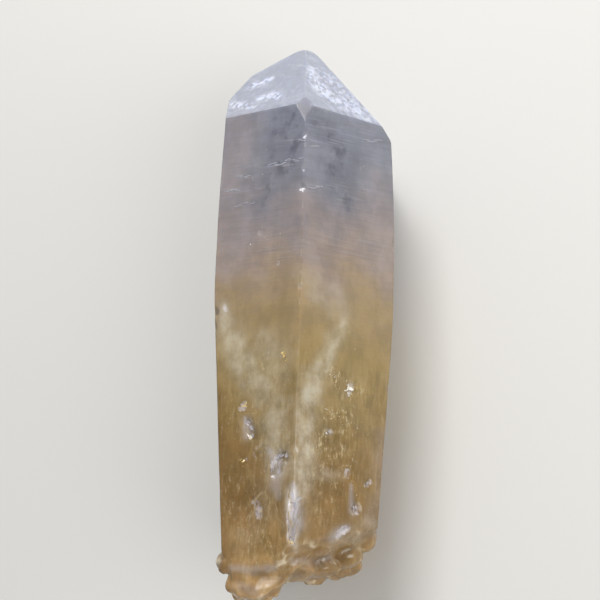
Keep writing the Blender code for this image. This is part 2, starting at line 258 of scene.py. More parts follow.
def face_planes(faces, centre=np.zeros(3)):
    """Normals and offsets of flat faces given as azimuth, distance, height and lean.

    The normal is the outward direction tipped up by the lean, and the offset is the
    normal's product with a point at the given distance and height.
    """
    table = np.array(faces, float)
    azimuth = np.radians(table[:, 0])
    lean = np.radians(table[:, 3])
    side = np.stack([np.cos(azimuth), np.zeros(len(table)), np.sin(azimuth)], axis=1)
    normals = side * np.cos(lean)[:, None]
    normals[:, 1] = np.sin(lean)
    points = centre + side * table[:, 1:2]
    points[:, 1] += table[:, 2]
    return normals, np.sum(normals * points, axis=1)


def soft_max(values, sharpness):
    """Largest of several fields, rounded where two are close: log of a sum of powers."""
    peak = values.max(axis=0)
    return peak + np.log(np.exp(sharpness * (values - peak)).sum(axis=0)) / sharpness


def soft_min(first, second, sharpness):
    """Smaller of two fields, rounded where they are close."""
    return -soft_max(np.stack([-first, -second]), sharpness)


def convex_field(points, planes, sharpness):
    """Signed distance to a convex body: the rounded largest of its plane distances."""
    normals, offsets = planes
    return soft_max((points @ normals.T - offsets).T, sharpness)


def lens_field(points, centre, turn, radii):
    """Near-distance to an ellipsoid with the given axes, as columns of turn, and radii."""
    local = (points - centre) @ turn
    scaled = np.linalg.norm(local / radii, axis=1)
    slope = np.linalg.norm(local / radii ** 2, axis=1)
    return scaled * (scaled - 1.0) / np.maximum(slope, 1e-6)


# Random values at the corners of a repeating lattice, for the noise
NOISE_TABLE = np.random.default_rng(41).uniform(-1.0, 1.0, (32, 32, 32))


def lattice_noise(points, cell):
    """Smooth noise from -1 to 1: random lattice values, blended with eased weights."""
    places = points / np.asarray(cell, float)
    base = np.floor(places).astype(int)
    part = places - base
    part = part * part * (3.0 - 2.0 * part)
    total = np.zeros(len(points))
    for corner in np.ndindex(2, 2, 2):
        index = (base + corner) % 32
        weight = np.prod(np.where(np.array(corner) == 1, part, 1.0 - part), axis=1)
        total += weight * NOISE_TABLE[index[:, 0], index[:, 1], index[:, 2]]
    return total


def layered_noise(points, cell, layers=3):
    """Lattice noise summed over layers, each of half the cell and half the height."""
    cell = np.asarray(cell, float)
    total = np.zeros(len(points))
    for layer in range(layers):
        shifted = points + 17.3 * (layer + 1)
        total += 0.5 ** layer * lattice_noise(shifted, cell * 0.5 ** layer)
    return total / (2.0 - 0.5 ** (layers - 1))


def step_between(low, high, values):
    """0 below low and 1 above high, eased between them."""
    share = np.clip((values - low) / (high - low), 0.0, 1.0)
    return share * share * (3.0 - 2.0 * share)


def face_spot(face, across, height):
    """Place and axes of a spot on a prism face: across, along and outward."""
    azimuth, distance, upper_bend, upper_lean, lower_bend, lower_lean = PRISM_FACES[face]
    start, angle = height, 0.0
    if height > upper_bend:
        start, angle = upper_bend, math.radians(upper_lean)
    elif height < lower_bend:
        start, angle = lower_bend, math.radians(lower_lean)
    side = outward(azimuth)
    tangent = outward(azimuth - 90.0)
    rise = np.array([0.0, 1.0, 0.0])
    normal = side * math.cos(angle) + rise * math.sin(angle)
    along = np.cross(normal, tangent)
    depth = distance - (height - start) * math.tan(angle)
    spot = side * depth + tangent * across + rise * height
    return spot, np.stack([tangent, along, normal], axis=1)


def turned(axes, turn):
    """The same axes turned about their third one."""
    angle = math.radians(turn)
    across = axes[:, 0] * math.cos(angle) + axes[:, 1] * math.sin(angle)
    along = axes[:, 1] * math.cos(angle) - axes[:, 0] * math.sin(angle)
    return np.stack([across, along, axes[:, 2]], axis=1)


def prism_rows():
    """The prism faces as flat faces: three leans of each, and the one it rests on."""
    rows = []
    for azimuth, distance, upper_bend, upper_lean, lower_bend, lower_lean in PRISM_FACES:
        rows.append((azimuth, distance, upper_bend, 0.0))
        rows.append((azimuth, distance, upper_bend, upper_lean))
        rows.append((azimuth, distance, lower_bend, lower_lean))
    return rows + [REST_FACE]


def lens_on_face(row):
    """Centre, axes and radii of a knob or a scar, from its row of the table."""
    face, across, height, half_length, half_width, depth, turn = row
    spot, axes = face_spot(face, across, height)
    return spot, turned(axes, turn), np.array([half_width, half_length, depth])


def hull_faces():
    """Every flat face of the crystal but the break, as one list of planes."""
    normals, offsets = face_planes(prism_rows() + [CORNER_CHIP, APEX_CAP, *TIP_FACES])
    rings = [
        (start + step * 360.0 / APEX_SIDES, distance, height, lean)
        for start, distance, height, lean in APEX_RINGS for step in range(APEX_SIDES)]
    ring_normals, ring_offsets = face_planes(rings, off_axis(*APEX_CENTRE))
    return np.vstack([normals, ring_normals]), np.concatenate([offsets, ring_offsets])


def stub_planes(stub):
    """Planes of one blunt six-sided growth."""
    across, up, tip, half_width, length, twist = stub
    flat = half_width * math.cos(math.radians(30.0))
    lean = -math.degrees(math.atan2(flat * (1.0 - STUB_BLUNTNESS), length))
    sides = [(twist + 30.0 + 60.0 * side, flat * STUB_BLUNTNESS, tip, lean) for side in range(6)]
    ends = [(0.0, 0.0, tip, -90.0), (0.0, 0.0, tip + length, 90.0)]
    return face_planes(sides + ends, off_axis(across, up))


HULL = hull_faces()
BREAK = face_planes(BREAK_FACES)
LOBE = face_planes(LOBE_FACES, off_axis(*LOBE_CENTRE))
GROWTHS = [stub_planes(stub) for stub in STUBS]


def chipped(points, cell, seed):
    """Shell-like hollows with sharp ridges between them, 0 on a ridge and 1 in a hollow.

    Each cell of a lattice holds one random centre, and the hollow of a point falls off
    with its squared distance to the nearest centre.
    """
    centres = np.random.default_rng(seed).uniform(0.15, 0.85, (16, 16, 16, 3))
    places = points / cell
    base = np.floor(places).astype(int)
    nearest = np.full(len(points), 9.0)
    for corner in np.ndindex(3, 3, 3):
        index = base + np.array(corner) - 1
        spot = index + centres[index[:, 0] % 16, index[:, 1] % 16, index[:, 2] % 16]
        nearest = np.minimum(nearest, np.sum((places - spot) ** 2, axis=1))
    return np.clip(1.0 - nearest / 0.75, 0.0, 1.0)


def ragged(points):
    """Points shifted by fine noise, which gives scars and chips a ragged outline."""
    shift = [layered_noise(points + place, (2.3, 2.3, 2.3), 2) for place in (5.0, 43.0, 71.0)]
    return points + RAGGEDNESS * np.stack(shift, axis=1)


def base_field(points, field):
    """Cut the break into the hull's field and join the lobe, growths, lumps and knobs."""
    share = 1.0 - step_between(11.0, 17.0, points[:, 1] - 0.25 * (points @ outward(-30.0)))
    hollows = 0.75 * chipped(points, *COARSE_SHELLS) + 0.28 * chipped(points, *FINE_SHELLS) - 0.35
    rough = share * (hollows + 0.25 * layered_noise(points, (6.0, 6.0, 6.0), 2))
    broken = convex_field(points, BREAK, BREAK_SHARPNESS) + rough
    field = -soft_min(-field, -broken, JOIN_SHARPNESS)
    growing = convex_field(points, LOBE, LOBE_SHARPNESS) + 0.55 * rough
    for planes in GROWTHS:
        stub = convex_field(points, planes, JOIN_SHARPNESS) + 0.25 * rough
        growing = soft_min(growing, stub, GROWTH_SHARPNESS)
    for across, up, height, half_width, half_length in LUMPS:
        centre = off_axis(across, up) + np.array([0.0, height, 0.0])
        radii = np.array([half_width, half_length, half_width])
        lump = lens_field(points, centre, np.eye(3), radii) + rough
        growing = soft_min(growing, lump, GROWTH_SHARPNESS)
    for knob in KNOBS:
        growing = soft_min(growing, lens_field(points, *lens_on_face(knob)), JOIN_SHARPNESS)
    return soft_min(field, growing, JOIN_SHARPNESS)


def crystal_field(points):
    """Signed distance to the crystal's surface, in millimetres.

    The convex hull of the faces is cut by the break, joined with the lobe, the
    growths, the lumps and the knobs, and then the scars and nicks are taken out.
    """
    field = convex_field(points, HULL, EDGE_SHARPNESS)
    low = points[:, 1] < GROWTH_TOP
    field[low] = base_field(points[low], field[low])
    for row in SCARS:
        spot, axes, radii = lens_on_face(row)
        near = np.linalg.norm(points - spot, axis=1) < radii[1] + REACH_OF_MARKS
        scar = lens_field(ragged(points[near]), spot, axes, radii)
        field[near] = soft_max(np.stack([field[near], -scar]), SCAR_SHARPNESS)
    for azimuth, distance, height, radius in NICKS:
        centre = outward(azimuth) * distance + np.array([0.0, height, 0.0])
        near = np.linalg.norm(points - centre, axis=1) < radius + REACH_OF_MARKS
        away = np.linalg.norm(ragged(points[near]) - centre, axis=1)
        field[near] = np.maximum(field[near], radius - away)
    return field


def growth_relief(points):
    """Height of the low swells, cross-wise growth steps and etched tip, in millimetres."""
    on_tip = step_between(112.0, 122.0, points[:, 1])
    swells = SWELL_HEIGHT * layered_noise(points, (9.0, 11.0, 9.0), 2)
    steps = STEP_HEIGHT * layered_noise(points, (11.0, 1.9, 11.0), 2) * (1.0 - on_tip)
    etch = ETCH_HEIGHT * layered_noise(points, (2.2, 2.2, 2.2), 2) * on_tip
    return swells + steps + etch


def fan_elevations(slope, fan, rows):
    """Elevations of rays from one point that meet a sloping plane at even steps."""
    low, high = (math.tan(math.radians(angle)) for angle in fan)
    return slope + np.degrees(np.arctan(np.linspace(low, high, rows + 1)))


def ray_rows():
    """Origins and elevations of the rays of each row, from the base pole to the tip.

    Rays of the prism leave the axis level. Those of the base and the tip fan out from
    one point, evenly spaced on a plane that faces the slope.
    """
    base_elevation = fan_elevations(BASE_SLOPE, BASE_FAN, BASE_ROWS)
    prism_height = np.arange(BASE_ORIGIN, TIP_ORIGIN, PRISM_STEP)[1:]
    tip_elevation = fan_elevations(TIP_SLOPE, TIP_FAN, TIP_ROWS)
    elevation = np.radians(np.concatenate([
        base_elevation[1:], np.zeros(len(prism_height)), tip_elevation[:-1]]))
    height = np.concatenate([
        np.full(BASE_ROWS, BASE_ORIGIN), prism_height, np.full(TIP_ROWS, TIP_ORIGIN)])
    drift = step_between(70.0, TIP_ORIGIN, height)[:, None]
    origin = drift * off_axis(*APEX_CENTRE)
    origin[:, 1] = height
    return origin, elevation


def evened(line, reach=4, rounds=3):
    """Middle value of each run of a line, then a few rounds of averaging."""
    padded = np.pad(line, reach, mode="edge")
    runs = np.stack([padded[shift:shift + len(line)] for shift in range(2 * reach + 1)])
    line = np.median(runs, axis=0)
    for _ in range(rounds):
        padded = np.pad(line, 1, mode="edge")
        line = 0.25 * padded[:-2] + 0.5 * padded[1:-1] + 0.25 * padded[2:]
    return line


def edge_directions(origin, elevation):
    """Azimuths of the six main edges, in radians, as rows of rays by edges.

    A fan of rays is tried at every tenth of a degree. Where the face that a ray meets
    first changes, with the largest turn of the normal inside a window, is the edge.
    """
    normals, offsets = HULL
    fan = np.radians(np.arange(0.0, 360.0, 0.1))
    best = np.full((len(origin), len(fan)), -np.inf)
    face = np.zeros(best.shape, int)
    for index, (normal, offset) in enumerate(zip(normals, offsets)):
        reach = offset - origin @ normal
        flat = normal[0] * np.cos(fan) + normal[2] * np.sin(fan)
        pull = flat[None, :] * np.cos(elevation)[:, None] + normal[1] * np.sin(elevation)[:, None]
        pull = pull / reach[:, None]
        face = np.where(pull > best, index, face)
        best = np.maximum(best, pull)
    bend = 1.0 - np.sum(normals[face] * normals[np.roll(face, -1, axis=1)], axis=2)
    edges = []
    for azimuth in EDGE_AZIMUTHS:
        away = (np.degrees(fan) - azimuth + 180.0) % 360.0 - 180.0
        worth = bend * (np.abs(away) < EDGE_WINDOW) + 1e-4 * np.exp(-(away / 2.0) ** 2)
        edges.append(np.radians(azimuth + evened(away[np.argmax(worth, axis=1)])))
    return np.array(edges).T


def crystal_grid():
    """Start and direction of a ray for each point of the surface, as rows by columns.

    Around the crystal the columns run from edge to edge and crowd near the edges.
    Along it the rows are level rays on the prism and fans at both ends.
    """
    origin, elevation = ray_rows()
    edges = edge_directions(origin, elevation)
    share = np.arange(COLUMNS_PER_FACE) / COLUMNS_PER_FACE
    share = share - CORNER_CROWDING * np.sin(2.0 * math.pi * share) / (2.0 * math.pi)
    across, up = (
        np.concatenate([
            trig(edges[:, side, None]) * (1.0 - share) + trig(edges[:, (side + 1) % 6, None]) * share
            for side in range(6)], axis=1)
        for trig in (np.cos, np.sin))
    size = np.hypot(across, up)
    direction = np.stack([
        across / size * np.cos(elevation)[:, None],
        np.repeat(np.sin(elevation)[:, None], across.shape[1], axis=1),
        up / size * np.cos(elevation)[:, None]], axis=2)
    start = np.repeat(origin[:, None, :], across.shape[1], axis=1)
    return start, direction


def follow_rays(start, direction):
    """Move inwards along each ray by the field's value, until the surface is met.

    The walk starts a little outside the flat faces, and only the rays that haven't met
    the surface go on.
    """
    origins = start.reshape(-1, 3)
    headings = direction.reshape(-1, 3)
    normals, offsets = HULL
    slope = headings @ normals.T
    reach = (offsets - origins @ normals.T) / np.where(slope > 1e-6, slope, 1e-6)
    distance = reach.min(axis=1) + RAY_START
    going = np.arange(len(distance))
    for _ in range(RAY_ROUNDS):
        points = origins[going] + headings[going] * distance[going, None]
        away = crystal_field(points)
        distance[going] = np.maximum(distance[going] - RAY_STEP * away, RAY_LEAST)
        going = going[np.abs(away) > RAY_TOLERANCE]
        if not len(going):
            break
    points = origins + headings * distance[:, None]
    points += headings * growth_relief(points)[:, None]
    return points.reshape(start.shape)


def mesh_object(name, vertices, faces, material):
    """Make a smooth mesh object in the row frame from points in crystal millimetres."""
    data = bpy.data.meshes.new(name)
    data.from_pydata(((vertices + AXIS_ORIGIN) * MM).tolist(), [], faces)
    data.materials.append(material)
    data.shade_smooth()
    thing = bpy.data.objects.new(name, data)
    bpy.context.scene.collection.objects.link(thing)
    return thing


def closed_grid_faces(rows, columns):
    """Quads of a grid that closes round, with a fan of triangles at each pole.

    The poles are the last two points, the base's first.
    """
    index = np.arange(rows * columns).reshape(rows, columns)
    after = np.roll(index, -1, axis=1)
    quads = np.stack([index[:-1], index[1:], after[1:], after[:-1]], axis=2).reshape(-1, 4)
    base, tip = rows * columns, rows * columns + 1
    low = np.stack([np.full(columns, base), index[0], after[0]], axis=1)
    high = np.stack([index[-1], np.full(columns, tip), after[-1]], axis=1)
    return quads.tolist() + low.tolist() + high.tolist()


LOW, HIGH = (np.array(corner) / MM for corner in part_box("crystal"))
# Where the long axis and height 0 lie in the row frame: the widest corner of the
# section touches the box on the right, the rest face below and the tip ahead
WIDEST = (PRISM_FACES[UPPER_RIGHT][1] + PRISM_FACES[RIGHT][1]) / (2.0 * math.cos(math.radians(30.0)))
AXIS_ORIGIN = np.array([HIGH[0] - WIDEST, HIGH[1] - LENGTH, LOW[2] + REST_DISTANCE])


def set_floats(data, name, values):
    """Store one number a point on a mesh."""
    layer = data.attributes.new(name, "FLOAT", "POINT")
    layer.data.foreach_set("value", np.ascontiguousarray(values, dtype=np.float32))


def add_node(tree, kind, settings=None, inputs=None):
    """Add a node, set its properties, and fill or link its inputs by name or number."""
    node = tree.nodes.new(kind)
    for name, value in (settings or {}).items():
        setattr(node, name, value)
    for name, value in (inputs or {}).items():
        socket = node.inputs[name]
        if isinstance(value, bpy.types.NodeSocket):
            tree.links.new(value, socket)
        else:
            socket.default_value = value
    return node


def plain_material(name, colour, roughness):
    """A plain finish of one colour."""
    material = bpy.data.materials.new(name)
    material.use_nodes = True
    shader = material.node_tree.nodes["Principled BSDF"]
    shader.inputs["Base Color"].default_value = linear(colour)
    shader.inputs["Roughness"].default_value = roughness
    return material


# Clouds inside the quartz, as seen square to the upper edge: across and height of each
# turn of the path with the half width there. One row a path, with its strength
MILK_PATHS = (
    (0.80, ((9.6, 65.0, 1.2), (7.6, 60.8, 1.8), (5.4, 56.5, 2.0), (2.8, 52.0, 2.4))),
    (0.95, ((2.6, 52.0, 2.3), (1.9, 46.0, 2.4), (1.8, 42.0, 2.6), (2.6, 36.0, 3.0), (1.4, 28.0, 3.0))),
    (0.68, ((-4.0, 45.0, 2.6), (-6.1, 41.0, 3.4), (-4.6, 35.0, 3.4), (-2.0, 30.0, 2.6))),
    (1.00, ((0.8, 30.0, 3.0), (0.8, 25.0, 2.2), (1.0, 19.0, 1.6), (0.6, 13.0, 0.7))),
    (0.75, ((-19.0, 68.0, 2.4), (-18.3, 63.6, 3.0), (-13.8, 54.7, 3.4), (-9.6, 48.4, 2.6))),
    (0.45, ((-9.0, 60.0, 3.2), (-5.0, 55.0, 3.6), (-8.0, 48.0, 3.0))),
    (0.40, ((2.0, 76.0, 3.0), (7.0, 72.0, 4.0), (9.0, 67.0, 2.6))),
    (0.55, ((1.0, 30.0, 2.0), (4.5, 31.0, 1.8), (8.0, 29.0, 1.4))),
    (0.50, ((9.5, 15.4, 1.6), (13.0, 16.4, 2.0), (17.0, 19.4, 1.8))),
    (0.20, ((-6.0, 27.0, 2.6), (-8.0, 20.0, 3.0), (-11.0, 14.0, 2.6))),
)
# Windows of clear quartz under the tip, in the same way
CLEAR_PATHS = (
    (0.85, ((-5.6, 117.0, 5.0), (-5.6, 109.0, 5.2), (-5.4, 103.0, 5.0))),
    (0.80, ((-9.4, 101.0, 3.0), (-10.4, 96.0, 2.6))),
    (0.85, ((2.6, 114.0, 3.4), (7.0, 110.0, 5.0), (8.0, 104.0, 5.2), (9.0, 96.0, 4.4))),
    (0.45, ((-6.0, 92.0, 3.2), (-1.0, 90.0, 2.6))),
    (0.45, ((3.0, 92.0, 2.6), (8.0, 86.0, 2.4))),
)
# Honey-coloured patches, and deeper amber ones, in the same way. The amber down the low left side is
# partly painted shadow and painted reflection
HONEY_PATHS = (
    (0.55, ((-5.0, 80.0, 3.4), (-3.0, 74.0, 5.0), (-8.0, 68.0, 6.0))),
    (0.70, ((-20.0, 76.0, 3.0), (-17.0, 70.0, 4.4), (-20.0, 66.0, 3.0))),
    (0.65, ((14.0, 74.0, 6.0), (17.0, 62.0, 5.0), (19.0, 48.0, 4.0))),
    (0.80, ((-19.0, 44.0, 3.0), (-20.0, 30.0, 3.4), (-18.0, 18.0, 3.4))),
    (0.55, ((-4.0, 66.0, 4.0), (0.0, 60.0, 5.0), (-2.0, 50.0, 4.0))),
)
AMBER_PATHS = (
    (0.95, ((-21.0, 46.0, 2.6), (-20.5, 36.0, 4.6), (-19.5, 20.0, 4.8), (-18.0, 8.0, 4.6))),
    (0.70, ((-12.0, 32.0, 4.0), (-12.0, 20.0, 5.0))),
    (0.50, ((6.0, 30.0, 3.6), (9.0, 20.0, 4.4), (8.0, 10.0, 4.6), (14.0, 6.0, 4.0))),
)
# Pinkish milk near the skin, in the same way
BLUSH_PATHS = (
    (0.90, ((-17.5, 117.0, 4.6), (-17.5, 108.0, 4.2), (-20.0, 100.0, 3.6))),
    (0.60, ((-19.0, 92.0, 4.0), (-14.0, 88.0, 4.0), (-18.0, 80.0, 4.0))),
    (0.60, ((18.0, 104.0, 3.0), (20.0, 94.0, 3.6), (17.0, 86.0, 4.0), (21.0, 76.0, 3.0))),
    (0.45, ((-3.0, 98.0, 2.4), (-2.0, 92.0, 3.0), (4.0, 86.0, 3.6))),
    (0.50, ((21.0, 40.0, 2.6), (20.0, 28.0, 2.6), (18.0, 20.0, 2.4))),
)
# Places full of fine shattered flakes, in the same way. Their flakes are painted as glints and painted
# shade
SHATTER_PATHS = (
    (1.00, ((7.6, 54.0, 1.6), (9.4, 52.0, 2.4), (13.6, 50.0, 2.0))),
    (0.90, ((12.0, 49.0, 1.6), (9.0, 43.0, 3.2), (6.0, 37.0, 3.6), (11.0, 33.0, 3.4))),
    (0.60, ((6.0, 30.0, 3.0), (8.0, 24.0, 3.0), (4.0, 20.0, 2.6))),
    (0.55, ((-15.0, 26.0, 3.0), (-11.0, 20.0, 4.6), (-8.0, 12.0, 4.0), (-2.0, 9.0, 2.6))),
    (0.40, ((-12.0, 44.0, 3.0), (-8.0, 38.0, 3.4), (-6.0, 30.0, 3.0))),
    (0.50, ((-9.0, 58.0, 2.6), (-7.0, 52.0, 3.0))),
)
# Crisp pale veils just under the skin, in the same way. Some rows are painted highlights and
# reflections: the pale bands on the lobe and along the rim of the break, and the thin glint line low on
# the right
VEIL_PATHS = (
    (1.00, ((-0.6, 26.5, 0.6), (0.2, 22.0, 1.3), (0.5, 18.0, 1.7), (-0.5, 13.6, 0.6))),
    (0.60, ((-6.4, 34.6, 0.7), (-5.0, 31.4, 1.6), (-4.6, 26.5, 1.5), (-3.8, 24.0, 0.8))),
    (0.70, ((12.8, 27.5, 0.3), (13.2, 23.5, 0.45), (13.6, 21.6, 0.8))),
    (0.70, ((8.8, 15.4, 0.7), (10.4, 16.9, 0.9), (12.4, 18.0, 0.7))),
    (0.60, ((-12.4, 42.0, 0.9), (-11.8, 39.8, 1.3), (-12.2, 37.8, 0.9))),
    (0.60, ((-14.0, 7.6, 0.7), (-9.0, 7.2, 1.0), (-4.5, 7.8, 0.7))),
    (0.45, ((-12.0, 3.6, 1.0), (-9.0, 2.6, 1.2))),
    (0.50, ((-0.5, 9.8, 0.8), (5.0, 10.2, 1.0), (8.5, 11.2, 0.8))),
)
# Bundles of fine level growth lines, in the same way
STREAK_PATHS = (
    (1.00, ((-9.8, 104.8, 1.0), (-5.0, 104.7, 1.1), (-1.0, 104.5, 0.9))),
    (0.75, ((-19.7, 106.6, 0.9), (-11.0, 104.6, 0.9))),
    (0.80, ((-17.5, 103.0, 0.8), (-13.9, 102.6, 0.8))),
    (0.65, ((-20.4, 99.5, 1.1), (-10.7, 98.4, 1.1))),
    (0.70, ((-6.8, 110.2, 1.0), (-1.1, 109.8, 1.2))),
    (0.75, ((0.9, 114.6, 1.8), (8.0, 115.2, 1.6), (16.1, 116.1, 1.3))),
    (0.80, ((1.8, 110.4, 1.2), (8.0, 111.8, 1.0), (14.6, 113.6, 0.9))),
    (0.75, ((0.5, 98.1, 1.2), (9.0, 99.4, 1.4), (16.9, 101.0, 1.0))),
    (0.60, ((8.4, 96.1, 0.9), (17.0, 97.6, 0.9))),
    (0.40, ((-19.2, 86.0, 3.4), (-3.3, 83.0, 3.4))),
    (0.40, ((1.4, 83.5, 3.4), (16.2, 85.3, 3.4))),
)
# Whiter frost on the tip faces, in the same way
FROST_PATHS = (
    (1.00, ((-20.8, 126.0, 1.3), (-17.5, 123.8, 1.5), (-14.5, 122.8, 1.3))),
    (1.00, ((-12.4, 125.6, 1.3), (-9.8, 125.4, 1.7), (-7.8, 124.4, 1.2))),
    (0.90, ((-15.6, 131.0, 1.1), (-12.4, 132.5, 1.6), (-10.2, 133.8, 1.0))),
    (0.85, (
        (0.8, 135.0, 1.6), (1.2, 130.0, 2.0), (4.0, 126.0, 2.8), (9.0, 124.0, 3.0), (15.0, 120.6, 2.2))),
    (0.70, ((3.9, 134.0, 2.2), (9.0, 128.5, 2.4), (15.0, 123.0, 2.0))),
)


def seen_square(points):
    """Across and height of points as seen square to the upper edge."""
    return np.stack([points @ outward(UPPER_EDGE - 90.0), points[:, 1]], axis=1)


def path_mask(points, paths):
    """Soft mask round some paths: strength over one plus the fourth power of the
    distance to the path, counted in half widths.
    """
    flat = seen_square(points)
    mask = np.zeros(len(points))
    for strength, path in paths:
        for (x0, y0, w0), (x1, y1, w1) in zip(path, path[1:]):
            start = np.array([x0, y0])
            span = np.array([x1 - x0, y1 - y0])
            share = np.clip((flat - start) @ span / (span @ span), 0.0, 1.0)
            away = np.linalg.norm(flat - start - share[:, None] * span, axis=1)
            away /= w0 + (w1 - w0) * share
            mask = np.maximum(mask, strength / (1.0 + away ** 4))
    return mask


def plane_distance(points, faces):
    """Largest signed distance to flat faces given as azimuth, distance, height, lean."""
    normals, offsets = face_planes(faces)
    return (points @ normals.T - offsets).max(axis=1)


def edge_distance(points):
    """How far below the second-nearest of the six prism faces a point lies."""
    rows = prism_rows()
    fields = [
        plane_distance(points, [row for row in rows if row[0] == azimuth])
        for azimuth in sorted({row[0] for row in rows})]
    return -np.sort(np.stack(fields), axis=0)[-2]


def scar_marks(points):
    """Distance to the nearest scar's edge, and the place along the scar.

    The distance is under 0 inside. The place runs from -1 at the scar's lower end to 1
    at its upper end.
    """
    nearest = np.full(len(points), FAR_FROM_SCARS)
    along = np.zeros(len(points))
    torn = ragged(points)
    for row in SCARS:
        spot, axes, radii = lens_on_face(row)
        away = lens_field(torn, spot, axes, radii)
        along = np.where(away < nearest, (torn - spot) @ axes[:, 1] / radii[1], along)
        nearest = np.minimum(nearest, away)
    return nearest, along


def nick_marks(points):
    """1 in the middle of the nicks, fading out at their rims."""
    mask = np.zeros(len(points))
    torn = ragged(points)
    for azimuth, distance, height, radius in NICKS:
        centre = outward(azimuth) * distance + np.array([0.0, height, 0.0])
        away = np.linalg.norm(torn - centre, axis=1) - radius
        mask = np.maximum(mask, 1.0 - step_between(-0.5 * radius, 0.1, away))
    return mask


# How far noise moves the paths, in millimetres, and the masks stored from paths: name,
# paths, and the share of that wander
WANDER = 2.6
PATH_MASKS = (
    ("milk", MILK_PATHS, 1.0),
    ("clear", CLEAR_PATHS, 1.0),
    ("honey", HONEY_PATHS, 1.0),
    ("blush", BLUSH_PATHS, 1.0),
    ("amber_and_shadow", AMBER_PATHS, 1.0),
    ("shatter", SHATTER_PATHS, 0.6),
    ("veils_and_highlights", VEIL_PATHS, 0.2),
    ("streak", STREAK_PATHS, 0.15),
    ("frost", FROST_PATHS, 0.4),
)


def mark_skin(skin, points):
    """Store where the skin is frosted, broken, scarred, cloudy or coloured, where its edges wear, and
    where highlights and shade are painted.
    """
    on_prism = plane_distance(points, prism_rows())
    scar, scar_place = scar_marks(points)
    ridges = 1.0 - 0.6 * chipped(points, *COARSE_SHELLS) - 0.4 * chipped(points, *FINE_SHELLS)
    marks = {
        "tip": np.clip(plane_distance(points, TIP_FACES) - on_prism, -6.0, 6.0),
        "edge": np.clip(edge_distance(points), -1.0, 6.0),
        "chip": np.clip(plane_distance(points, [CORNER_CHIP]), -1.0, 1.0),
        "broken": np.clip(plane_distance(points, BREAK_FACES), -6.0, 2.0),
        # How high each spot stands between the shell hollows: it places a painted highlight on the
        # ridges and painted shade in the crevices
        "ridge": ridges,
        "scar": scar,
        "scar_place": scar_place,
        "nick": nick_marks(points),
    }
    wander = WANDER * np.stack([
        layered_noise(points + shift, (5.0, 7.0, 5.0), 4) for shift in (3.0, 31.0, 59.0)], axis=1)
    for name, paths, share in PATH_MASKS:
        marks[name] = path_mask(points + share * wander, paths)
    for name, values in marks.items():
        set_floats(skin.data, name, values)


def mask_node(tree, name):
    """Read a stored mask."""
    return add_node(tree, "ShaderNodeAttribute", {"attribute_name": name}).outputs["Fac"]


def eased(tree, value, low, high, start=0.0, end=1.0, curve="SMOOTHSTEP"):
    """Map a value from low and high to start and end, smoothly unless told otherwise."""
    return add_node(tree, "ShaderNodeMapRange", {"interpolation_type": curve}, {
        "Value": value, "From Min": low, "From Max": high,
        "To Min": start, "To Max": end}).outputs[0]


def worked(tree, operation, first, second):
    """One step of arithmetic."""
    return add_node(tree, "ShaderNodeMath", {"operation": operation}, {0: first, 1: second}).outputs[0]


def times(tree, first, *others):
    """Product of two or more values."""
    for other in others:
        first = worked(tree, "MULTIPLY", first, other)
    return first


def grain(tree, place, sizes, detail=2.0, rough=0.55):
    """Noise from 0 to 1 whose cells have the given sizes in millimetres."""
    scaled = add_node(tree, "ShaderNodeVectorMath", {"operation": "MULTIPLY"}, {
        0: place, 1: [1.0 / (size * MM) for size in sizes]}).outputs[0]
    return add_node(tree, "ShaderNodeTexNoise", {}, {
        "Vector": scaled, "Scale": 1.0, "Detail": detail, "Roughness": rough}).outputs["Fac"]


def tinted(tree, share, base, colour):
    """Mix a plain colour into another by a share."""
    mix = add_node(tree, "ShaderNodeMix", {"data_type": "RGBA"})
    tree.links.new(share, mix.inputs[0])
    tree.links.new(base, mix.inputs[6])
    mix.inputs[7].default_value = linear(colour)
    return mix.outputs[2]


# Colour of the quartz from the broken base to the tip: height and colour
BODY_COLOURS = (
    (0.0, "#f0c992"),
    (10.0, "#d6af72"),
    (24.0, "#ac8746"),
    (40.0, "#b3955a"),
    (58.0, "#c3aa74"),
    (70.0, "#c8b088"),
    (80.0, "#c5b09e"),
    (92.0, "#b6abaa"),
    (104.0, "#aaabb4"),
    (120.0, "#a9adba"),
    (144.0, "#aeb3c4"),
)
# Tints laid over the body colour one after another: mask, share and colour
TINTS = (
    ("bands", 1.0, "#8f8d96"),
    ("honey", 0.5, "#ae9150"),
    ("blush", 0.6, "#c0b3b0"),
    # Deeper amber, partly painted shadow on the low left side
    ("amber_and_shadow", 0.5, "#8d6130"),
    ("shaded", 0.18, "#8c7c48"),
    ("dusk", 0.28, "#7b6a38"),
    ("milk", 0.65, "#d6d6ce"),
    ("clear", 0.78, "#868a9a"),
    ("threads", 0.3, "#dccf9f"),
    # Painted glints: pale dots in the lower half
    ("painted_glint_specks", 0.3, "#e8ddb4"),
    # Painted shade and painted glints on the shattered flakes
    ("unlit", 0.5, "#6c5a2c"),
    ("lit", 0.7, "#e6dbb6"),
    ("streak", 0.6, "#d2d2da"),
    # Pale veils, partly painted highlights and reflections
    ("veils_and_highlights", 0.7, "#d4d0d3"),
    ("tip", 0.7, "#a0a5b4"),
    ("frost", 0.8, "#d6daea"),
    # Painted shade on the rounding beside the low edges
    ("rounded", 0.4, "#8a7546"),
    ("hollow", 0.45, "#aaa19c"),
    # Frosted fracture in the scars, partly a painted highlight round their rims and lower ends
    ("scar", 1.0, "#e2dde2"),
    # Wear on the edges, partly a painted highlight line along them
    ("wear_and_highlight", 1.0, "#eeecec"),
    ("chip", 0.6, "#8e8b97"),
    # Painted shade in the crevices of the break; the next is a painted highlight on its ridges
    ("crevice_shade", 0.4, "#93703f"),
    ("ridge", 0.75, "#f2e8d0"),
)
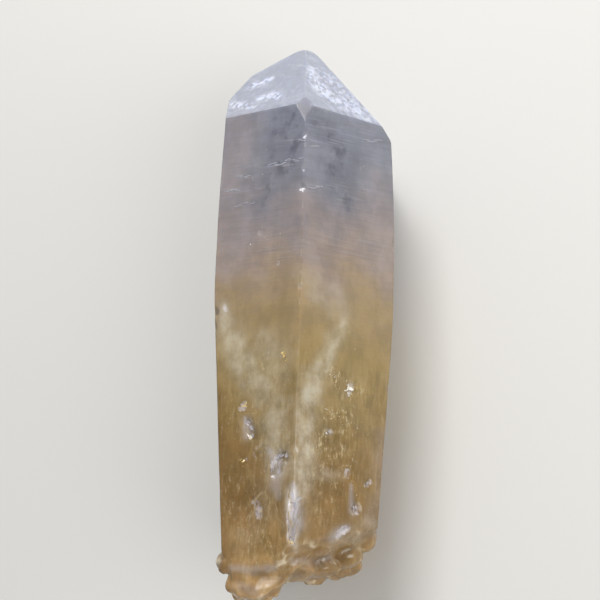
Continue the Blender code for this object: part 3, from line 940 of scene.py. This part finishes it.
# The share of the light passing through that each mask stops
LOSSES = (
    ("milk", 0.6),
    ("tip", 0.45),
    ("frost", 0.8),
    ("scar", 0.6),
    ("wear_and_highlight", 0.8),
    ("ridge", 0.6),
    ("lit", 0.5),
)
# The roughness that each mask adds
ROUGHENED = (("tip", 0.21), ("frost", 0.25), ("chip", 0.35))
QUARTZ_IOR = 1.544
ABSORBED_PER_METRE = 12.0


def body_colour(tree, place, along):
    """The quartz's own colour along its length, its borders moved about by noise."""
    wobble = eased(tree, grain(tree, place, (14.0, 12.0, 14.0), 4.0), 0.0, 1.0, -0.07, 0.07)
    ramp = add_node(tree, "ShaderNodeValToRGB", {}, {0: worked(tree, "ADD", along, wobble)})
    stops = ramp.color_ramp.elements
    while len(stops) < len(BODY_COLOURS):
        stops.new(1.0)
    for stop, (spot, colour) in zip(stops, BODY_COLOURS):
        stop.position = spot / LENGTH
        stop.color = linear(colour)
    return ramp.outputs[0]


def cloud_masks(tree, place, along, puffs):
    """Milk, clear windows, coloured patches partly painted as shadow, veils partly painted as
    highlights, and darker depths in the quartz.
    """
    soft = eased(tree, puffs, 0.25, 0.75, 0.35, 1.0)
    masks = {name: times(tree, mask_node(tree, name), soft) for name in ("milk", "clear", "honey")}
    for name in ("blush", "amber_and_shadow", "veils_and_highlights"):
        masks[name] = mask_node(tree, name)
    masks["depths"] = eased(tree, grain(tree, place, (5.0, 8.0, 5.0), 4.0, 0.6), 0.72, 0.3)
    masks["shaded"] = times(tree, masks["depths"], eased(tree, along, 0.62, 0.35))
    return masks


def tip_masks(tree, place):
    """The etched tip, and the patches of crumbly frost on it."""
    tip = eased(tree, mask_node(tree, "tip"), -0.15, 0.15)
    shoulder = eased(tree, mask_node(tree, "tip"), 0.0, 6.0, 0.05, -0.04)
    patchy = worked(tree, "ADD", grain(tree, place, (3.6, 3.6, 3.6), 3.0), shoulder)
    patchy = eased(tree, patchy, 0.42, 0.62, 0.1, 0.35)
    patchy = worked(tree, "MAXIMUM", patchy, mask_node(tree, "frost"))
    crumbs = grain(tree, place, (1.1, 1.8, 1.1), 4.0, 0.65)
    return {"tip": tip, "frost": times(tree, tip, patchy, eased(tree, crumbs, 0.40, 0.58))}


def line_masks(tree, place, along, tip):
    """Bundles of level growth lines, and faint bands across the faces."""
    lines = eased(tree, grain(tree, place, (9.0, 0.42, 9.0), 3.0, 0.6), 0.5, 0.66)
    bands = eased(tree, grain(tree, place, (12.0, 1.6, 12.0), 4.0, 0.6), 0.35, 0.65, 0.0, 0.35)
    off_tip = eased(tree, tip, 0.0, 1.0, 1.0, 0.0)
    return {
        "streak": times(tree, mask_node(tree, "streak"), lines, off_tip),
        "bands": times(tree, bands, eased(tree, along, 0.4, 0.7, 0.12, 1.0)),
    }


def lower_masks(tree, place, along, puffs):
    """Threads, dusky streaks, painted glints as pale dots, and shattered flakes painted as glints and
    shade, in the lower half.
    """
    low = eased(tree, along, 0.5, 0.28)
    upright = grain(tree, place, (0.75, 4.2, 0.75), 4.0, 0.6)
    dusky = worked(tree, "ADD", upright, worked(tree, "SUBTRACT", puffs, 0.5))
    dots = grain(tree, place, (0.8, 1.1, 0.8), 2.0)
    flakes = grain(tree, place, (0.8, 1.9, 0.8), 4.0, 0.7)
    gaps = eased(tree, grain(tree, place, (2.4, 3.0, 2.4), 2.0), 0.35, 0.65, 0.15, 1.0)
    shatter = times(tree, mask_node(tree, "shatter"), gaps)
    return {
        "threads": times(tree, eased(tree, upright, 0.5, 0.75), low),
        "dusk": times(tree, eased(tree, dusky, 0.52, 0.3), low),
        # Painted glints: pale dots in the lower half
        "painted_glint_specks": times(tree, eased(tree, dots, 0.64, 0.74), low),
        # Painted glints and painted shade on the shattered flakes
        "lit": times(tree, shatter, eased(tree, flakes, 0.5, 0.64)),
        "unlit": times(tree, shatter, eased(tree, flakes, 0.46, 0.34)),
    }


def scar_masks(tree, puffs, fine):
    """The scars' hollows, and the lit film in their lower ends and round their rims, partly frosted
    fracture and partly painted highlight.
    """
    edge = mask_node(tree, "scar")
    hollow = eased(tree, edge, -0.3, 0.0, 1.0, 0.0)
    near_edge = times(tree, eased(tree, edge, -0.35, -0.05), eased(tree, edge, 0.0, 0.3, 1.0, 0.0))
    # Painted highlight round the scars' rims
    rim_highlight = times(tree, near_edge, eased(tree, puffs, 0.42, 0.58), 0.6)
    torn = eased(tree, fine, 0.3, 0.7, -0.9, 0.9)
    lower_end = eased(tree, worked(tree, "ADD", mask_node(tree, "scar_place"), torn), 0.1, -0.5)
    return {"hollow": hollow, "scar": worked(tree, "MAXIMUM", rim_highlight, times(tree, hollow, lower_end, 0.8))}


def edge_wear_and_light_masks(tree, place, along):
    """Wear and nicks on the edges with a painted highlight line, and painted shade on the rounding
    beside the low edges.
    """
    edge = mask_node(tree, "edge")
    # Wear along the edges, with a painted highlight line that fades towards the base
    wear_and_highlight = times(
        tree,
        eased(tree, edge, 0.04, 0.24, 1.0, 0.0),
        eased(tree, grain(tree, place, (1.6, 2.6, 1.6), 3.0), 0.48, 0.7),
        eased(tree, along, 0.2, 0.7, 0.1, 0.8),
        eased(tree, along, 0.80, 0.77, 0.25, 1.0))
    nicked = times(tree, mask_node(tree, "nick"), 0.85)
    return {
        "wear_and_highlight": worked(tree, "MAXIMUM", wear_and_highlight, nicked),
        # Painted shade on the rounding beside the edges, towards the base
        "rounded": times(tree, eased(tree, edge, 0.06, 0.3, 1.0, 0.0), eased(tree, along, 0.75, 0.5)),
    }


def break_masks(tree):
    """The chipped corner, and the painted highlights on the ridges and painted shade in the crevices of
    the broken base.
    """
    broken = eased(tree, mask_node(tree, "broken"), -1.6, -0.2)
    ridges = mask_node(tree, "ridge")
    return {
        "chip": eased(tree, mask_node(tree, "chip"), -0.2, -0.05),
        # Painted highlight on the ridges of the break, painted shade in its crevices
        "ridge": times(tree, broken, eased(tree, ridges, 0.45, 0.9)),
        "crevice_shade": times(tree, broken, eased(tree, ridges, 0.4, 0.1)),
    }


def growth_bump(tree, place, tip):
    """Fine level growth lines on the prism and fine etching on the tip."""
    level = worked(tree, "SUBTRACT", grain(tree, place, (16.0, 0.55, 16.0), 3.0, 0.6), 0.5)
    level = times(tree, level, eased(tree, tip, 0.0, 1.0, 1.0, 0.0))
    etched = worked(tree, "SUBTRACT", grain(tree, place, (1.4, 1.4, 1.4), 1.0), 0.5)
    etched = times(tree, etched, eased(tree, tip, 0.0, 1.0, 0.3, 0.9))
    height = worked(tree, "ADD", level, etched)
    return add_node(tree, "ShaderNodeBump", {}, {
        "Height": height, "Distance": 0.09 * MM, "Strength": 0.45}).outputs[0]


def quartz_material():
    """Citrine quartz with natural growth faces: glassy, milky inside, frosted tip.

    The colour runs from grey-lilac at the tip to olive gold at the base. Masks stored
    on the skin place the clouds, the clear windows, the coloured patches, the frost,
    the scars and the wear, and the painted highlights and shade.
    """
    # About half the light passes through and the rest scatters just under the skin, so
    # the eye sees into a cloudy stone with a glassy shine, and a dull, sugary tip
    material = bpy.data.materials.new("milky citrine quartz, natural faces")
    material.use_nodes = True
    tree = material.node_tree
    shader = tree.nodes["Principled BSDF"]
    place = add_node(tree, "ShaderNodeTexCoord").outputs["Object"]
    height = add_node(tree, "ShaderNodeSeparateXYZ", {}, {0: place}).outputs[1]
    foot = AXIS_ORIGIN[1] * MM
    along = eased(tree, height, foot, foot + LENGTH * MM, curve="LINEAR")
    puffs = grain(tree, place, (3.4, 4.4, 3.4), 4.0, 0.6)
    fine = grain(tree, place, (1.3, 1.6, 1.3), 4.0, 0.65)
    masks = tip_masks(tree, place)
    masks.update(cloud_masks(tree, place, along, puffs))
    masks.update(line_masks(tree, place, along, masks["tip"]))
    masks.update(lower_masks(tree, place, along, puffs))
    masks.update(scar_masks(tree, puffs, fine))
    masks.update(edge_wear_and_light_masks(tree, place, along))
    masks.update(break_masks(tree))

    colour = body_colour(tree, place, along)
    for name, share, tint in TINTS:
        colour = tinted(tree, times(tree, masks[name], share), colour, tint)
    tree.links.new(colour, shader.inputs["Base Color"])

    window = times(tree, masks["clear"], 0.8)
    through = worked(tree, "MAXIMUM", window, eased(tree, masks["depths"], 0.0, 1.0, 0.40, 0.50))
    for name, loss in LOSSES:
        through = times(tree, through, eased(tree, masks[name], 0.0, 1.0, 1.0, 1.0 - loss))
    tree.links.new(through, shader.inputs["Transmission Weight"])

    rough = eased(tree, fine, 0.3, 0.7, 0.10, 0.18)
    for name, gain in ROUGHENED:
        rough = worked(tree, "ADD", rough, eased(tree, masks[name], 0.0, 1.0, 0.0, gain))
    tree.links.new(rough, shader.inputs["Roughness"])

    tree.links.new(growth_bump(tree, place, masks["tip"]), shader.inputs["Normal"])
    shader.inputs["IOR"].default_value = QUARTZ_IOR
    shader.inputs["Subsurface Weight"].default_value = 1.0
    shader.inputs["Subsurface Radius"].default_value = (1.0, 0.85, 0.6)
    shader.inputs["Subsurface Scale"].default_value = 0.8 * MM
    absorb = add_node(tree, "ShaderNodeVolumeAbsorption", {}, {
        "Color": linear("#c3b9a4"), "Density": ABSORBED_PER_METRE})
    tree.links.new(absorb.outputs[0], tree.nodes["Material Output"].inputs["Volume"])
    return material


def leaves(name, centres, axes, sizes, material, bow, ripple=0.0, grid=(5, 3)):
    """Thin lens-shaped leaves, all joined in one mesh.

    A leaf runs u from -0.97 to 0.97 along and v from -1 to 1 across. A point of it is
    the centre, plus u half lengths along, plus v half widths times the root of 1 - u
    squared across, plus the bow times u squared and a ripple of sine waves outwards.
    axes holds across, along and outward as columns, sizes the half length and width.
    """
    lengthwise = np.linspace(-0.97, 0.97, grid[0])
    crosswise = np.linspace(-1.0, 1.0, grid[1])
    along, across = (part.ravel() for part in np.meshgrid(lengthwise, crosswise, indexing="ij"))
    narrowed = across * np.sqrt(1.0 - along ** 2)
    lift = bow * along ** 2 + ripple * np.sin(9.0 * along + 4.0 * across)
    centres, axes, sizes = (np.asarray(value, float) for value in (centres, axes, sizes))
    points = (
        centres[:, None, :]
        + axes[:, None, :, 0] * (sizes[:, None, 1:2] * narrowed[None, :, None])
        + axes[:, None, :, 1] * (sizes[:, None, 0:1] * along[None, :, None])
        + axes[:, None, :, 2] * (sizes[:, None, 0:1] * lift[None, :, None]))
    cell = np.arange(grid[0] * grid[1]).reshape(grid)
    quads = np.stack([cell[:-1, :-1], cell[1:, :-1], cell[1:, 1:], cell[:-1, 1:]], axis=2).reshape(-1, 4)
    quads = quads[None, :, :] + (np.arange(len(centres)) * len(along))[:, None, None]
    leaf = mesh_object(name, points.reshape(-1, 3), quads.reshape(-1, 4).tolist(), material)
    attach(leaf, "root")


def film_material(name, colour, roughness, through):
    """A thin film or lip of broken quartz: one colour, partly see-through."""
    material = plain_material(name, colour, roughness)
    material.node_tree.nodes["Principled BSDF"].inputs["Transmission Weight"].default_value = through
    return material


# Clusters of small bright flakes: face, across from its middle and height, half width
# and half height of the cluster, number and the largest half length
GLINTS = (
    (UPPER_RIGHT, 1.2, 50.4, 1.4, 1.8, 22, 0.50),
    (UPPER_RIGHT, -3.2, 53.0, 2.0, 1.8, 16, 0.45),
    (UPPER_RIGHT, -3.2, 44.0, 3.2, 2.6, 14, 0.34),
    (UPPER_RIGHT, 1.5, 41.5, 2.6, 2.6, 14, 0.34),
    (UPPER_RIGHT, -5.0, 34.0, 2.6, 3.6, 14, 0.30),
    (UPPER_RIGHT, 4.0, 26.0, 3.6, 5.0, 8, 0.36),
    (UPPER_RIGHT, 0.0, 68.0, 6.0, 8.0, 8, 0.22),
    (UPPER_RIGHT, 2.0, 104.0, 7.0, 7.0, 10, 0.20),
    (UPPER_LEFT, 3.0, 86.0, 5.0, 3.0, 12, 0.24),
    (UPPER_LEFT, -2.0, 104.0, 6.0, 5.0, 8, 0.20),
)
GOLDEN_GLINTS = (
    (UPPER_LEFT, 8.4, 56.7, 0.5, 0.7, 12, 0.85),
    (UPPER_LEFT, 9.2, 55.4, 0.4, 0.4, 5, 0.60),
    (UPPER_LEFT, -2.4, 32.4, 0.8, 1.2, 10, 0.60),
    (UPPER_LEFT, -1.8, 45.4, 0.9, 1.1, 8, 0.60),
    (UPPER_LEFT, 11.0, 13.2, 0.8, 0.8, 8, 0.45),
    (UPPER_LEFT, 3.0, 24.0, 5.0, 6.0, 14, 0.30),
    (UPPER_LEFT, 3.0, 14.0, 6.0, 4.0, 20, 0.36),
    (UPPER_RIGHT, -1.0, 30.0, 3.2, 3.0, 12, 0.32),
)
# Lips of cracks on a face: face, across and height of one end, the same of the other,
# and the greatest width. Pale ones near the tip, then golden ones near the base
PALE_CRACKS = (
    (UPPER_LEFT, 1.8, 104.6, 11.8, 105.2, 0.34),
    (UPPER_LEFT, -6.9, 103.1, -3.3, 102.8, 0.26),
    (UPPER_LEFT, -10.1, 99.7, -6.0, 99.3, 0.26),
    (UPPER_LEFT, 10.2, 110.1, 12.2, 109.8, 0.22),
    (UPPER_LEFT, -7.6, 95.4, -1.4, 95.6, 0.12),
    (UPPER_RIGHT, -12.2, 97.9, -8.0, 98.7, 0.22),
    (UPPER_RIGHT, -11.7, 108.4, -9.0, 109.0, 0.2),
    (UPPER_RIGHT, 3.8, 113.6, 9.4, 114.7, 0.22),
)
GOLDEN_CRACKS = (
    (UPPER_LEFT, 5.0, 33.6, 4.0, 25.2, 0.36),
    (UPPER_LEFT, 4.0, 25.2, 0.5, 22.8, 0.32),
    (UPPER_LEFT, 4.2, 25.4, 6.0, 18.4, 0.32),
    (UPPER_LEFT, 5.0, 24.6, 9.0, 17.0, 0.28),
    (UPPER_LEFT, 1.6, 23.0, -0.4, 17.4, 0.24),
    (UPPER_LEFT, 10.6, 29.0, 11.0, 12.8, 0.22),
    (UPPER_RIGHT, -10.4, 20.0, -12.0, 14.0, 0.2),
    (UPPER_RIGHT, -6.4, 30.6, -6.9, 24.6, 0.14),
    (UPPER_RIGHT, -2.2, 31.6, -2.6, 27.0, 0.14),
)
# How flakes vary: length as a share of the largest, width as a share of the length, and
# tilt out of the face in degrees
FLAKE_LENGTHS = (0.35, 1.0)
FLAKE_WIDTHS = (0.25, 0.6)
FLAKE_TILTS = (10.0, 50.0)
# How close the leaves of a crack's lip lie, and how far a long crack waves to each side
LEAVES_PER_MM = 1.6
CRACK_WAVE = 0.5


def glints(name, table, film):
    """Small fracture flakes that catch the light, scattered in clusters."""
    draw = np.random.default_rng(7)
    centres, axes, sizes = [], [], []
    for face, across, height, half_width, half_height, count, largest in table:
        for _ in range(count):
            aside, rise = np.clip(draw.normal(scale=0.55, size=2), -1.0, 1.0) * (half_width, half_height)
            spot, turn = face_spot(face, across + aside, height + rise)
            half_length = largest * draw.uniform(*FLAKE_LENGTHS)
            sink = draw.uniform(0.0, 0.5) * half_length
            centres.append(spot + turn[:, 2] * (growth_relief(spot[None, :])[0] - sink))
            sizes.append((half_length, half_length * draw.uniform(*FLAKE_WIDTHS)))
            tilted = turned(turn, draw.uniform(0.0, 360.0))
            angle = math.radians(draw.uniform(*FLAKE_TILTS))
            along = tilted[:, 1] * math.cos(angle) + tilted[:, 2] * math.sin(angle)
            axes.append(np.stack([tilted[:, 0], along, np.cross(tilted[:, 0], along)], axis=1))
    leaves(name, centres, axes, sizes, film, 0.3)


def cracks(name, table, lip):
    """Lips of cracks: runs of slender leaves that lie along a face."""
    draw = np.random.default_rng(11)
    centres, axes, sizes = [], [], []
    for face, across, height, far_across, far_height, width in table:
        start, turn = face_spot(face, across, height)
        end, _ = face_spot(face, far_across, far_height)
        length = np.linalg.norm(end - start)
        along = (end - start) / length
        aside = np.cross(turn[:, 2], along)
        count = int(4 + LEAVES_PER_MM * length)
        for step in range(count):
            share = (step + draw.uniform(0.2, 0.8)) / count
            swell = math.sqrt(4.0 * share * (1.0 - share))
            wave = CRACK_WAVE * swell * math.sin(1.3 * share * length + 7.0 * across)
            spot = start + (end - start) * share + aside * (wave * min(1.0, length / 7.0))
            spot = spot + aside * draw.normal(scale=0.3 * width)
            lean = math.radians(draw.normal(scale=3.0))
            heading = along * math.cos(lean) + aside * math.sin(lean)
            centres.append(spot + turn[:, 2] * (growth_relief(spot[None, :])[0] + 0.01))
            axes.append(np.stack([np.cross(turn[:, 2], heading), heading, turn[:, 2]], axis=1))
            half_length = draw.uniform(0.25, 0.8) * (0.5 + swell) * min(1.0, length / 4.0)
            half_width = width * draw.uniform(0.15, 0.5) * (0.4 + 0.6 * swell)
            sizes.append((half_length, half_width))
    leaves(name, centres, axes, sizes, lip, 0.01, 0.004, (9, 3))


def scar_films(film):
    """Curved fracture films that line the larger scars and catch the light."""
    draw = np.random.default_rng(19)
    centres, axes, sizes = [], [], []
    for row in SCARS:
        spot, turn, (half_width, half_length, depth) = lens_on_face(row)
        if half_length < SHORTEST_FILMED_SCAR:
            continue
        for _ in range(int(2 + 2 * half_length)):
            aside, rise = draw.uniform(-0.75, 0.75, 2)
            floor = depth * math.sqrt(max(0.0, 1.0 - aside ** 2 - rise ** 2))
            local = np.array([aside * half_width, rise * half_length, 0.03 - 0.9 * floor])
            centres.append(spot + turn @ local)
            tilt = math.radians(draw.normal(scale=22.0))
            roll = turned(turn, draw.normal(scale=25.0))
            side = roll[:, 0] * math.cos(tilt) + roll[:, 2] * math.sin(tilt)
            axes.append(np.stack([side, roll[:, 1], np.cross(side, roll[:, 1])], axis=1))
            sizes.append((half_length * draw.uniform(0.12, 0.32), half_width * draw.uniform(0.08, 0.3)))
    leaves("scar_films", centres, axes, sizes, film, 0.12, 0.03, (11, 5))


def crystal_skin():
    """The crystal's surface, from its rays and field."""
    start, direction = crystal_grid()
    surface = follow_rays(start, direction)
    poles = follow_rays(
        np.stack([start[0, 0], start[-1, 0]])[:, None, :],
        np.array([[[0.0, -1.0, 0.0]], [[0.0, 1.0, 0.0]]]))
    rows, columns = surface.shape[:2]
    points = np.vstack([surface.reshape(-1, 3), poles.reshape(-1, 3)])
    skin = mesh_object("crystal_skin", points, closed_grid_faces(rows, columns), quartz_material())
    mark_skin(skin, points)
    return skin


# Half the table's width, in metres
TABLE_HALF = 1.5


def table_top():
    """A pale, plain table far wider than the crystal."""
    half = TABLE_HALF
    corners = np.array([[-half, -half], [half, -half], [half, half], [-half, half]])
    data = bpy.data.meshes.new("table")
    data.from_pydata([(x, y, 0.0) for x, y in corners], [], [(0, 1, 2, 3)])
    # Dull enough to show no highlight, so that only the crystal's soft shadow marks it
    data.materials.append(plain_material("matt pale table", "#d6d4cf", 0.7))
    thing = bpy.data.objects.new("table", data)
    bpy.context.scene.collection.objects.link(thing)


# The view: square to the upper edge, from a little towards the base end, and turned a
# little in the picture. Distances in millimetres
VIEW_TILT = 14.0
VIEW_ROLL = 2.0
VIEW_DISTANCE = 330.0
VIEW_CENTRE = (-0.5, 76.0)
MM_PER_PIXEL = 0.2555
PICTURE_WIDTH = 600
SENSOR_WIDTH = 36.0


def view_axes():
    """Right, up and backward directions of the camera."""
    tilt = math.radians(VIEW_TILT)
    roll = math.radians(VIEW_ROLL)
    back = Vector(outward(UPPER_EDGE)) * math.cos(tilt) - Vector((0.0, 1.0, 0.0)) * math.sin(tilt)
    level = Vector(outward(UPPER_EDGE - 90.0))
    rise = back.cross(level)
    right = level * math.cos(roll) + rise * math.sin(roll)
    up = rise * math.cos(roll) - level * math.sin(roll)
    return right, up, back


def place_camera():
    """Set the camera square to the upper edge, looking down on the crystal."""
    right, up, back = view_axes()
    across, height = VIEW_CENTRE
    aim = Vector(AXIS_ORIGIN + outward(UPPER_EDGE - 90.0) * across) + Vector((0.0, height, 0.0))
    data = bpy.data.cameras.new("camera")
    data.sensor_width = SENSOR_WIDTH
    data.lens = SENSOR_WIDTH * VIEW_DISTANCE / (MM_PER_PIXEL * PICTURE_WIDTH)
    data.clip_start = 0.01
    camera = bpy.data.objects.new("camera", data)
    turn = Matrix((right, up, back)).transposed().to_4x4()
    camera.matrix_world = Matrix.Translation((aim + back * VIEW_DISTANCE) * MM) @ turn
    bpy.context.scene.collection.objects.link(camera)
    bpy.context.scene.camera = camera


def soft_light(name, place, size, power):
    """A square, white soft box aimed at the crystal."""
    data = bpy.data.lights.new(name, "AREA")
    data.shape = "SQUARE"
    data.size = size
    data.energy = power
    light = bpy.data.objects.new(name, data)
    light.location = place
    light.rotation_euler = (Vector((0.0, 0.0, 0.02)) - Vector(place)).to_track_quat("-Z", "Y").to_euler()
    bpy.context.scene.collection.objects.link(light)


def light_scene():
    """Broad soft light from above, with a low pale surround."""
    world = bpy.data.worlds.new("surround")
    world.use_nodes = True
    backdrop = world.node_tree.nodes["Background"]
    backdrop.inputs["Color"].default_value = linear("#e8eaee")
    backdrop.inputs["Strength"].default_value = 0.45
    bpy.context.scene.world = world
    soft_light("key light", (0.05, 0.75, 0.62), 0.5, 9.2)
    soft_light("fill light", (0.75, -0.25, 0.5), 0.6, 4.5)
    bpy.context.scene.view_settings.view_transform = "Standard"


def dress_fractures():
    """Put the flakes, crack lips and films on the skin, each in its own finish."""
    # Smooth and nearly white: single sharp sparkles
    bright = film_material("bright fracture film", "#efe9da", 0.1, 0.2)
    glints("glints", GLINTS, bright)
    # Smooth and yellow: a few golden flecks, which stand out of the honey colour
    golden = film_material("golden fracture film", "#ecd08a", 0.1, 0.2)
    glints("golden_glints", GOLDEN_GLINTS, golden)
    # Duller and half clear: fine pale scratches across the grey faces
    frosted = film_material("frosted crack lip", "#c8c9d3", 0.3, 0.5)
    cracks("pale_crack_lips", PALE_CRACKS, frosted)
    # The same in cream: branching hairlines above the broken base
    honey = film_material("honey crack lip", "#c9b284", 0.25, 0.5)
    cracks("golden_crack_lips", GOLDEN_CRACKS, honey)
    # Smooth and half clear: scars glint like broken glass in their hollows
    scar_films(film_material("fracture film in a scar", "#cdc6c8", 0.15, 0.5))


def main():
    """Dress the crystal, light it and place the camera."""
    skin = crystal_skin()
    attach(skin, "root")
    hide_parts("crystal")
    dress_fractures()
    table_top()
    light_scene()
    place_camera()


main()
